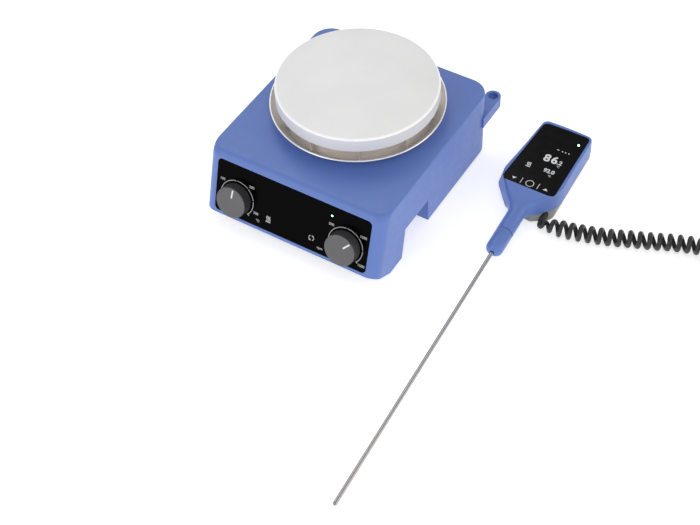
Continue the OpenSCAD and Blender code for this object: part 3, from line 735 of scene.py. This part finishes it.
def lip():
    profile = [(48, 64.02), (57.4, 64.02), (58.3, 64.35), (66.4, 74.0)] + arc(66.7, 74.6, 0.7, -45, 150, 10)
    profile += [(57.9, 65.5), (57.2, 64.92), (48, 64.92)]
    piece("lip_ring", lathe(profile, 192), PLATE, "stirrer", POLISHED, ("splash_ring",), 40)
    meshes = [lathe([(56.3, 65.06), (57.3, 65.06), (57.3, 79.7), (56.3, 79.7)], 192)]
    for i in range(10):
        rib = rounded(56.95, 60.6, -0.6, 0.6, 0.45, 3)
        meshes.append(placed(slab(rib, 69.2, 78.8), turn(-58 + i * 36, "Z")))
    piece("drum_band", joined(*meshes), PLATE, "stirrer", WARM, ("plate_drum",), 35)


plate()
lip()

# ---------------------------------------------------------------- panel and knobs


def panel():
    outline = rounded(-PANEL_W / 2, PANEL_W / 2, -PANEL_H, 0, 3.7, 10)
    obj = piece("panel_plate", slab(outline, -0.8, -0.02), PANEL, None, PANEL_BLACK)
    holes = [moved(pin(SPINDLE_HOLE_R, -3, 3, 40), side * KNOB_U, KNOB_V) for side in (-1, 1)]
    holes.append(moved(pin(0.85, -3, 3, 24), *LAMP_AT))
    combine(obj, [tool(h, PANEL) for h in holes])
    finish_mesh(obj, 30, 0.15, 2)
    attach(obj, "stirrer")
    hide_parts("front_panel")


def knob(side, at, body, name, nodes):
    r, h = 12.8, 9.0
    profile = [(3.05, 6.9), (3.05, 3.3), (6.4, 3.3), (6.4, 0.3), (r - 0.25, 0.3), (r, 0.55), (r, 1.4)]
    profile += [(r - 0.05, h - 0.5)] + arc(r - 0.5, h - 0.45, 0.45, 5, 90, 6) + [(r - 6, h), (0, h), (0, 6.9)]
    mesh = lathe(profile, 128)
    # Top faces take the lighter knob grey, and the rest take the darker grey, which is painted shade.
    top = []
    for f in mesh[1]:
        centre = sum((Vector(mesh[0][i]) for i in f), Vector()) / len(f)
        top.append(1 if centre.z > h - 0.25 else 0)
    where = knob_frame(side) @ turn(-at, "Z")
    piece(name, (mesh[0], mesh[1], top), where, body, [KNOB_SIDE, KNOB_FACE], nodes[:1], 25)
    bar = slab(rounded(-0.65, 0.65, 4.2, 11.6, 0.4, 5), h - 0.05, h + 0.04)
    piece(name + "_pointer", bar, where, body, PRINT, nodes[1:], 40)


panel()
knob(-1, HEAT_AT, "heat_control", "heat_dial", ("heat_knob", "heat_pointer"))
knob(1, SPEED_AT, "speed_control", "speed_dial", ("speed_knob", "speed_pointer"))

# ---------------------------------------------------------------- printed marks


def text(words, size, x, y, heavy):
    """A word's flat faces, in millimetres, centred at x, y."""
    data = bpy.data.curves.new("words", "FONT")
    data.body, data.size = words, size
    data.align_x, data.align_y = "CENTER", "CENTER"
    data.offset, data.resolution_u = heavy, 6
    obj = bpy.data.objects.new("words", data)
    scene.collection.objects.link(obj)
    graph = bpy.context.evaluated_depsgraph_get()
    me = bpy.data.meshes.new_from_object(obj.evaluated_get(graph))
    verts = [(v.co.x + x, v.co.y + y, 0) for v in me.vertices]
    faces = [list(p.vertices) for p in me.polygons]
    bpy.data.objects.remove(obj)
    bpy.data.curves.remove(data)
    bpy.data.meshes.remove(me)
    return verts, faces


def flat(outline):
    return [(x, y, 0) for x, y in outline], [list(range(len(outline)))]


def stroke(points, width, closed=False):
    """A line of one width along points."""
    pts = [Vector((*p, 0)) for p in points]
    n = len(pts)
    left, right = [], []
    for i, p in enumerate(pts):
        a = pts[i - 1] if i or closed else p
        b = pts[(i + 1) % n] if i < n - 1 or closed else p
        d = (b - a).normalized()
        side = Vector((-d.y, d.x, 0)) * width / 2
        left.append(tuple(p + side))
        right.append(tuple(p - side))
    count = n if closed else n - 1
    faces = [[i, n + i, n + (i + 1) % n, (i + 1) % n] for i in range(count)]
    return left + right, faces


DIAL_R, DIAL_START, DIAL_END = 14.7, 223, -43
PRINT_DEPTH = 0.03


def dial(side, breaks):
    """The arc round a knob, with a gap at each break and a tick at its end."""
    cx = side * KNOB_U
    marks = [DIAL_START, *breaks, DIAL_END]
    parts = []
    for a, b in zip(marks, marks[1:]):
        parts.append(stroke(arc(cx, KNOB_V, DIAL_R, a - 1.6, b + 1.6, 16), 0.62))
    c, s = math.cos(math.radians(DIAL_END)), math.sin(math.radians(DIAL_END))
    parts.append(stroke([(cx + r * c, KNOB_V + r * s) for r in (13.9, 16.0)], 0.8))
    return parts


def heat_mark(x, y, k):
    base = [(-2.3, -3.0), (2.3, -3.0), (2.3, -1.9), (-2.3, -1.9)]
    parts = [flat([(x + a * k, y + b * k) for a, b in base])]
    for dx in (-1.45, 0, 1.45):
        wave = [(x + (dx + 0.42 * math.sin(t * 1.05)) * k, y + (-1.3 + t * 0.62) * k) for t in range(8)]
        parts.append(stroke(wave, 0.8 * k))
    return parts


def stir_mark(x, y, k):
    parts = []
    for turned in (0, 180):
        parts.append(stroke(arc(x, y, 2.3 * k, turned - 62, turned + 48, 10), 0.65 * k))
        c, s = math.cos(math.radians(turned + 58)), math.sin(math.radians(turned + 58))
        tip = (x + 2.3 * k * c - 1.3 * k * s, y + 2.3 * k * s + 1.3 * k * c)
        c, s = math.cos(math.radians(turned + 44)), math.sin(math.radians(turned + 44))
        inner, outer = [(x + r * k * c, y + r * k * s) for r in (1.3, 3.3)]
        parts.append(flat([inner, outer, tip]))
    return parts


def raised(meshes, z0, z1):
    """Flat meshes as thin solids from z0 to z1."""
    verts, faces = joined(*meshes)
    n = len(verts)
    edges = {}
    for f in faces:
        for a, b in zip(f, f[1:] + f[:1]):
            edges[(a, b)] = 1
    sides = [[a, b, b + n, a + n] for a, b in edges if (b, a) not in edges]
    return (
        [(x, y, z0) for x, y, _ in verts] + [(x, y, z1) for x, y, _ in verts],
        [f[::-1] for f in faces] + [[i + n for i in f] for f in faces] + sides,
    )


def panel_print():
    marks = dial(-1, (96, 53, 12)) + dial(1, (92, 48, 6))
    marks += heat_mark(-19, -35, 0.9) + stir_mark(19.2, -34.6, 0.92)
    for words, x, y in (
        ("100", -62.1, -16.6), ("200", -36.0, -13.9), ("300", -30.3, -34.6), ("\u00b0C", -28.2, -40.2),
        ("500", 34.5, -15.6), ("1000", 61.7, -15.4), ("1500", 62.9, -40), ("rpm", 27.2, -40.3),
    ):
        marks.append(text(words, 3.0, x, y, 0.06))
    mesh = raised(marks, -PRINT_DEPTH, PRINT_DEPTH)
    piece("panel_print", mesh, PANEL, "stirrer", PRINT_SOFT, (), 60)


def panel_lamp():
    lens = lathe([(0, -0.8), (0.8, -0.8), (0.8, -0.1), (0.6, 0.02), (0, 0.08)], 32)
    piece("panel_lamp", moved(lens, *LAMP_AT), PANEL, "stirrer", LED_GREEN, ("status_led",), 40)


panel_print()
panel_lamp()

# ---------------------------------------------------------------- thermometer head

FACE_Z, BACK_Z, NECK_R = 9.8, -10.58, 6.7
SEAM_WIDTH = (
    (36, 6.7), (38, 6.7), (41, 6.9), (44.5, 8.3), (48, 10.6), (52.5, 14.6), (59.6, 20.0), (65, 23.6),
    (70, 25.1), (76, 25.3), (84, 24.8), (100, 23.8), (121, 23.0), (131, 22.5), (140, 22.2),
)
TOP_Z = ((36, 6.7), (38, 6.75), (44, 7.45), (52, 8.6), (58, 9.35), (62, 9.7), (66, 9.8), (140, 9.8))
BACK_SEAM = ((9.5, 57.5, 6), (17, 68.5, 7.2), (13, 128.8, 8.7))
BACK_BULGE = ((9, 53.6, 6), (16, 62, 9))
BACK_SCREWS = ((-17, 74), (17, 74), (-13.5, 131), (13.5, 131))
HEAD_ANGLE, HEAD_SHIFT, HEAD_PIVOT = 3, -1.3, 50
HEAD_STATIONS = (
    36, 38, 39.5, 41, 42.5, 44, 46, 48, 50, 52.5, 55, 57.5, 60, 62.5, 65, 67.5, 70, 73, 76, 80, 86,
    93, 100, 107, 114, 121, 126,
)


def turned(x, y, part=1.0):
    """The head stands a little off the line of the neck and the shaft."""
    a, y = math.radians(-HEAD_ANGLE * part), y - HEAD_PIVOT
    return (
        HEAD_SHIFT * part + x * math.cos(a) - y * math.sin(a),
        HEAD_PIVOT + x * math.sin(a) + y * math.cos(a),
    )


def read(table, at):
    """A value from a table of (place, value), through a smooth curve."""
    k = max(i for i, (p, _) in enumerate(table[:-1]) if p <= at)
    (p0, v0), (p1, v1) = table[k], table[k + 1]

    def slope(i):
        a, b = table[max(i - 1, 0)], table[min(i + 1, len(table) - 1)]
        return (b[1] - a[1]) / (b[0] - a[0])

    t, w = (at - p0) / (p1 - p0), p1 - p0
    return (
        v0 * (1 + 2 * t) * (1 - t) ** 2 + slope(k) * w * t * (1 - t) ** 2
        + v1 * t * t * (3 - 2 * t) - slope(k + 1) * w * t * t * (1 - t)
    )


def smooth(t):
    t = min(1.0, max(0.0, t))
    return t * t * (3 - 2 * t)


def head_section(y, t, pull=0.0, drop=0.0, bottom=SEAM_Z):
    """Points of the blue half's section at y, t inside its face, narrowed by pull and lowered by drop."""
    w, top = read(SEAM_WIDTH, y) - pull, read(TOP_Z, y) - t - drop
    squared = smooth((y - 38) / 17)
    lean = 1.1 + 2.1 * smooth((y - 44) / 12) * (1 - smooth((y - 62) / 14))
    w_top = w - t - lean
    w_low = w - t
    r = (1.4 + 2.2 * (1 - smooth((y - 56) / 12))) * (1 if t == 0 else 0.5)
    low = bottom if squared > 0 else -NECK_R + t
    box, ring = [], []
    for k in range(5):
        box.append((w_low * k / 4, low))
        ring.append(-90 + 60.5 * k / 4)
    for k in range(1, 9):
        f = k / 8
        box.append((w_low + (w_top - w_low) * f * (top - r - low) / (top - low), low + (top - r - low) * f))
        ring.append(-29.5 + 64.5 * f)
    edge = w_low + (w_top - w_low) * (top - r - low) / (top - low)
    for k in range(1, 8):
        a = math.radians(90 * k / 7)
        box.append((edge - r + r * math.cos(a), top - r + r * math.sin(a)))
        ring.append(35 + 27 * k / 7)
    for k in range(1, 7):
        box.append(((edge - r) * (1 - k / 6), top))
        ring.append(62 + 28 * k / 6)
    half = []
    for (x, z), a in zip(box, ring):
        a = math.radians(a)
        x0, z0 = (NECK_R - t) * math.cos(a), (NECK_R - t) * math.sin(a)
        half.append((x0 + (x - x0) * squared, z0 + (z - z0) * squared))
    spread = 0.1 * smooth((y - 56) / 16) * (1 - 0.8 * smooth((y - 80) / 40))
    return half + [(-x * (1 + spread * (1 - 0.75 * (z - low) / (top - low))), z) for x, z in half[-2:0:-1]]


def head_solid(t, start, end, corner, bottom=SEAM_Z):
    ys = [y for y in HEAD_STATIONS if start <= y < end - corner]
    loops = [(y, 0.0, 0.0) for y in [start] * (start not in ys) + ys]
    for a in (0, 12, 24, 36, 48, 60, 70, 78, 85, 90):
        out_by, in_by = math.sin(math.radians(a)), 1 - math.cos(math.radians(a))
        loops.append((end - corner + corner * out_by, corner * in_by, 1.6 * in_by ** 3))
    out = []
    for y, pull, drop in loops:
        crown = smooth((y - 108) / (end - 108)) * 0.8
        lean = smooth((y - 124) / (end - 124)) * 2.5
        tuck = smooth((y - 112) / (end - 112))
        part = smooth((y - 39) / 15)
        loop = []
        for x, z in head_section(y, t, pull, drop, bottom):
            up = min(1.0, max(0.0, (z - SEAM_Z) / (FACE_Z - SEAM_Z)))
            corner_in = min(1.0, (x / 22) ** 2) * (crown + 1.8 * tuck * (1 - up))
            loop.append((*turned(x * (1 - 0.05 * tuck * (1 - up)), y - corner_in - lean * up, part), z))
        out.append(loop)
    return loft(out)


def hull_outline(circles):
    """The outline round circles (x, y, r), one point for each of n directions."""
    n = 120
    out = []
    for i in range(n):
        a = (i + 0.5) * math.tau / n
        c, s = math.cos(a), math.sin(a)
        x, y, r = max(circles, key=lambda p: p[0] * c + p[1] * s + p[2])
        out.append((x + r * c, y + r * s))
    return out


def back_outline(z, t):
    """The grey half at height z; below the seam it bulges on the right, where the cord comes out."""
    foot = BACK_Z + t + 3 - z
    inset = 3 - math.sqrt(max(0.0, 9 - foot * foot)) if foot > 0 else 0.0
    f = min(1.0, (SEAM_Z - z) / 4.2)
    circles = [(side * x, y, r - t - inset) for x, y, r in BACK_SEAM for side in (-1, 1)]
    for (x, y, r), (x2, y2, r2) in zip(BACK_SEAM, BACK_BULGE):
        circles.append((x + (x2 - x) * f, y + (y2 - y) * f, r + (r2 - r) * f - t - inset))
    x, y, r = BACK_SEAM[0]
    for side in (-1, 1):
        circles.append((side * x * f, 48.6 + (y - 48.6) * f, max(0.3, 4.4 * (1 - f) + (r - inset) * f - t)))
    return [turned(x, y, smooth((y - 44) / 8)) for x, y in hull_outline(circles)]


def window_outline(grow):
    parts = [(-18.1 - grow, 67.6 - grow, 4.3), (16.6 + grow, 68.9 - grow, 5.5), (0, 67.6 - grow, 4.5)]
    parts += [(-15.8 - grow, 128.1 + grow, 4.0), (16.1 + grow, 129.3 + grow, 3.5), (0, 128.6 + grow, 4.2)]
    return [turned(x, y) for x, y in hull_outline(parts)]


def along_y(profile, n=96):
    """A lathe about the probe's own axis; profile is (radius, y)."""
    verts, faces = lathe([(r, y) for r, y in profile], n)
    return [(x, z, -y) for x, y, z in verts], faces


def probe_head():
    obj = piece("probe_front_shell", head_solid(0, 36, 138.05, 4.6), PROBE, None, BLUE)
    cuts = [head_solid(2, 44, 136.2, 3, SEAM_Z - 3)]
    cuts.append(slab(window_outline(0.12), FACE_Z - 1.6, FACE_Z + 4))
    cuts.append(slab(window_outline(-2), FACE_Z - 5, FACE_Z + 4))
    cuts.append(slab([(-40, 44.2), (40, 44.2), (40, 170), (-40, 170)], -20, SEAM_Z))
    cuts.append(along_y([(0, 30), (3.65, 30), (3.65, 50), (0, 50)], 48))
    combine(obj, [tool(cut, PROBE) for cut in cuts])
    neck = along_y([(3.65, 22.0), (6.2, 22.0), (6.7, 22.25), (6.7, 37), (3.65, 37)])
    combine(obj, [piece("probe_neck", neck, PROBE, None, BLUE)], "UNION")
    finish_mesh(obj, 38, 0.22, 2)
    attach(obj, "thermometer")
    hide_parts("probe_shell")


def probe_cap():
    dome = arc(1.45, 5.25, 5.25, -90, 0, 10)
    profile = [(1.75, 3), (1.75, 0.12)] + dome[1:] + [(6.7, 21.3), (6.45, 21.6), (3.65, 21.6), (3.65, 3)]
    piece("probe_end_cap", along_y(profile), PROBE, "thermometer", BLUE, ("probe_cap",), 40)


def back_solid(levels, t):
    return loft([[(x, y, z) for x, y in back_outline(min(z, SEAM_Z), t)] for z in levels])


def probe_back():
    levels = [BACK_Z + rise for rise in (0, 0.1, 0.4, 0.9, 1.5, 2.2, 3)]
    levels += [-6.7, -5.8, -4.9, -4.1, SEAM_Z - 0.2]
    obj = piece("probe_rear_shell", back_solid(levels, 0.15), PROBE, None, GREY)
    cuts = [back_solid((BACK_Z + 2, BACK_Z + 3.5, -5.8, -4.6, SEAM_Z, SEAM_Z + 2), 2)]
    cuts.append(moved(along_y([(0, 46), (2.65, 46), (2.65, 66), (0, 66)], 40), GLAND_X, 0, GLAND_Z))
    for x, y in BACK_SCREWS:
        cuts.append(moved(pin(2.5, BACK_Z - 1, BACK_Z + 1.2, 32), *turned(x, y)))
    combine(obj, [tool(cut, PROBE) for cut in cuts])
    finish_mesh(obj, 35, 0.2, 2)
    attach(obj, "thermometer")
    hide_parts("probe_back")


def gland():
    ribs = []
    for k in range(5):
        y = GLAND_Y + 11.6 - k * 2.0
        ribs += [(2.5, y), (2.5, y - 1.2), (2.25, y - 1.4), (2.25, y - 1.85)]
    y = GLAND_Y
    profile = [(0, y + 13.6), (2.5, y + 13.6)] + ribs + [(2.45, y + 1.5), (2.1, y + 0.1), (1.95, y), (0, y)]
    mesh = moved(along_y(profile, 48), GLAND_X, 0, GLAND_Z)
    piece("cord_relief", mesh, PROBE, "thermometer", CORD, ("cord_gland",), 40)


def window():
    z = FACE_Z - 0.28
    glass = slab(window_outline(-0.02), z - 1.2, z)
    piece("display_glass", glass, PROBE, "thermometer", GLASS_BLACK, ("probe_window",), 40,
          0.15, 3)
    marks = [
        text("8", 10.4, 0.5, 98.1, 0.28), text("6", 10.4, 6.7, 98.2, 0.28), text(".2", 5.8, 11.3, 97.2, 0.12),
        text("\u00b0C", 2.4, 11.6, 93.2, 0.05), text("92.0", 5.2, 7.5, 85.8, 0.16),
        text("\u00b0C", 2.4, 9.6, 81.4, 0.05),
        stroke([(3.6, 109.9), (5.6, 109.9)], 0.6),
        flat([(-16.0, 69.4), (-14.0, 67.2), (-12.0, 69.4)]), flat([(10.8, 66.4), (14.8, 66.4), (12.8, 68.6)]),
        stroke([(-7.7, 65.3), (-7.5, 71.2)], 0.45), stroke([(6.4, 65.1), (6.6, 71)], 0.45),
        stroke(disc(-0.5, 68, 3.1, 40), 0.5, True),
    ]
    marks += [flat(disc(x, 109.6, 0.55, 20)) for x in (8.3, 11, 13.7)]
    marks += heat_mark(-9.5, 85.9, 0.8)
    mesh = raised(marks, z - PRINT_DEPTH, z + PRINT_DEPTH)
    piece("display_marks", mesh, PROBE, "thermometer", PRINT, (), 60)
    lamp = raised([flat(disc(16.8, 121.3, 1.0, 24))], z - 0.03, z + 0.05)
    piece("display_lamp", lamp, PROBE, "thermometer", LED_GREEN, (), 60)


def plug():
    where = PLATE @ Matrix.Translation(PLUG_AT) @ turn(PLUG_TURN, "Z") @ turn(90, "Y")
    ribs = []
    for k in range(4):
        z = 0.8 + k * 2.0
        r = 2.75 + 0.11 * z
        ribs += [(r, z), (r, z + 1.1), (r - 0.35, z + 1.3), (r - 0.35, z + 1.8)]
    profile = [(0, 0), (2.4, 0), (2.6, 0.4)] + ribs + [(3.6, 9), (5.6, 9.1), (6.4, 9.9), (7.3, 13)]
    for k in range(8):
        z = 14.5 + k * 1.6
        profile += [(7.5, z), (7.5, z + 0.9), (7.2, z + 1.05), (7.2, z + 1.45)]
    profile += [(7.5, 28), (7.5, 31.6)] + arc(6.95, 32.45, 0.5, 0, 90, 4)
    profile += [(7.02, 32.95), (7.02, 29), (0, 29)]
    piece("cord_connector", lathe(profile, 72), where, "stirrer", CORD, ("cord_plug",), 30)


probe_head()
probe_cap()
probe_back()
gland()
window()
plug()

# ---------------------------------------------------------------- floor and light


def stage():
    me = bpy.data.meshes.new("floor")
    me.from_pydata([(-4, -4, 0), (4, -4, 0), (4, 4, 0), (-4, 4, 0)], [], [(0, 1, 2, 3)])
    floor = bpy.data.objects.new("floor", me)
    floor.location.z = -0.0002
    n = Nodes("floor")
    n.colour(n.blend(n.span(n.noise(3, 2), 0, 1), (0.93, 0.93, 0.94), (0.95, 0.95, 0.955)))
    n.rough(n.span(n.noise(8, 2), 0.85, 0.95))
    n.set(Emission_Color=(1, 1, 1, 1), Emission_Strength=0.5)
    me.materials.append(n.material)
    scene.collection.objects.link(floor)
    world = bpy.data.worlds.new("studio")
    world.use_nodes = True
    world.node_tree.nodes["Background"].inputs["Color"].default_value = (1, 0.995, 0.985, 1)
    world.node_tree.nodes["Background"].inputs["Strength"].default_value = 0.6
    scene.world = world
    for name, place, size, power, aim, tint in (
        ("key", (-0.9, 0.9, 1.7), 1.2, 6, (0, 0, 0), (1, 1, 1)),
        ("fill", (1.4, -1.2, 1.5), 1.6, 5, (0, 0, 0), (1, 1, 1)),
        ("front", (-0.6, -1.6, 0.9), 1.2, 7, (0, 0, 0.03), (1, 1, 1)),
        ("side", (1.9, 0.6, 0.6), 1.6, 10, (0, 0, 0.03), (1, 0.88, 0.72)),
    ):
        data = bpy.data.lights.new(name, "AREA")
        data.shape, data.size, data.energy, data.color = "DISK", size, power, tint
        light = bpy.data.objects.new(name, data)
        light.location = place
        light.rotation_euler = (Vector(aim) - Vector(place)).to_track_quat("-Z", "Y").to_euler()
        scene.collection.objects.link(light)


stage()
scene.view_settings.view_transform = "Standard"

for material, nodes in CAD_FINISH.items():
    for node in nodes:
        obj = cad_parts[node]
        obj.data.materials.clear()
        obj.data.materials.append(material)
